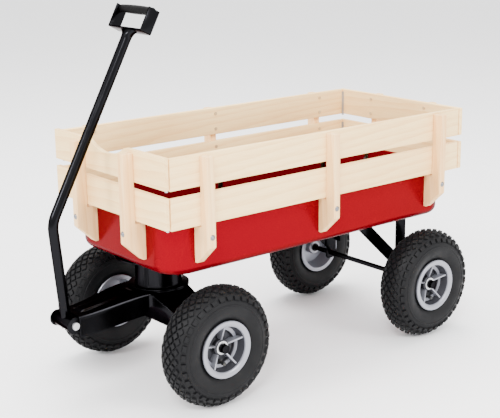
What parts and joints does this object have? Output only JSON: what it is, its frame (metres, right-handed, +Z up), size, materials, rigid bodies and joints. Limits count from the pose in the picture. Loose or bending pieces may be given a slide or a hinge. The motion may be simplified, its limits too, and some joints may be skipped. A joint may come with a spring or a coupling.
{
  "type": "pull wagon",
  "caption": "Pull wagon: pressed metal tub with slatted wooden side rails, ribbed rims with pneumatic tyres, a steered front axle on a turntable and a bent pull handle that lowers forward.",
  "frame": {"origin": "on the ground, under the middle of the whole wagon", "axes": "+Z up, +Y back along the wagon away from the pull handle, +X towards the wagon's left side"},
  "size_m": [0.48, 1.0045, 0.7975],
  "materials": {
    "red_enamel": "gloss",
    "black_enamel": "gloss",
    "pine": "satin",
    "zinc_steel": "satin",
    "tyre_rubber": "matte",
    "rim_plastic": "satin",
    "bush_plastic": "matte",
    "valve_rubber": "matte",
    "grip_plastic": "matte"
  },
  "bodies": {
    "wagon": {"left_board_upper": "pine", "right_board_upper": "pine", "front_board_upper": "pine", "rear_board_upper": "pine", "left_board_lower": "pine", "right_board_lower": "pine", "front_board_lower": "pine", "rear_board_lower": "pine", "left_stake_front": "pine", "left_stake_middle": "pine", "left_stake_rear": "pine", "right_stake_front": "pine", "right_stake_middle": "pine", "right_stake_rear": "pine", "front_stake_left": "pine", "front_stake_right": "pine", "rear_stake_left": "pine", "rear_stake_right": "pine", "tub": "red_enamel", "stake_bolts": "zinc_steel", "stake_nuts": "zinc_steel", "board_screws": "zinc_steel", "corner_brackets": "zinc_steel", "rear_leg_left": "black_enamel", "rear_leg_right": "black_enamel", "rear_brace_left": "black_enamel", "rear_brace_right": "black_enamel", "rear_axle": "black_enamel", "undercarriage_studs": "zinc_steel", "undercarriage_nuts": "zinc_steel", "turntable_dish": "black_enamel", "king_pin": "zinc_steel", "king_pin_nut": "zinc_steel", "rear_axle_retainers": "black_enamel"},
    "steering": {"front_axle_carrier": "black_enamel", "tongue": "black_enamel", "front_axle": "black_enamel", "hinge_bolt": "zinc_steel", "hinge_nut": "zinc_steel", "front_axle_retainers": "black_enamel"},
    "handle": {"handle_barrel": "black_enamel", "handle_tube": "black_enamel", "handle_loop": "black_enamel", "handle_grip": "grip_plastic"},
    "wheel_front_left": {"tyre_front_left": "tyre_rubber", "rim_front_left": "rim_plastic", "hub_bush_front_left": "bush_plastic", "valve_stem_front_left": "valve_rubber"},
    "wheel_front_right": {"tyre_front_right": "tyre_rubber", "rim_front_right": "rim_plastic", "hub_bush_front_right": "bush_plastic", "valve_stem_front_right": "valve_rubber"},
    "wheel_rear_left": {"tyre_rear_left": "tyre_rubber", "rim_rear_left": "rim_plastic", "hub_bush_rear_left": "bush_plastic", "valve_stem_rear_left": "valve_rubber"},
    "wheel_rear_right": {"tyre_rear_right": "tyre_rubber", "rim_rear_right": "rim_plastic", "hub_bush_rear_right": "bush_plastic", "valve_stem_rear_right": "valve_rubber"}
  },
  "joints": [
    {"name": "steering_turn", "type": "hinge", "parent": "wagon", "child": "steering", "pos_m": [0, -0.24913, 0.2115], "axis": [0, 0, 1], "range_deg": [-24, 24]},
    {"name": "handle_lowering", "type": "hinge", "parent": "steering", "child": "handle", "pos_m": [0, -0.47513, 0.178], "axis": [1, 0, 0], "range_deg": [0, 122]},
    {"name": "wheel_front_left_spin", "type": "hinge", "parent": "steering", "child": "wheel_front_left", "pos_m": [0.1977, -0.24913, 0.127], "axis": [1, 0, 0], "continuous": true},
    {"name": "wheel_front_right_spin", "type": "hinge", "parent": "steering", "child": "wheel_front_right", "pos_m": [-0.1977, -0.24913, 0.127], "axis": [1, 0, 0], "continuous": true},
    {"name": "wheel_rear_left_spin", "type": "hinge", "parent": "wagon", "child": "wheel_rear_left", "pos_m": [0.1977, 0.35987, 0.127], "axis": [1, 0, 0], "continuous": true},
    {"name": "wheel_rear_right_spin", "type": "hinge", "parent": "wagon", "child": "wheel_rear_right", "pos_m": [-0.1977, 0.35987, 0.127], "axis": [1, 0, 0], "continuous": true}
  ]
}
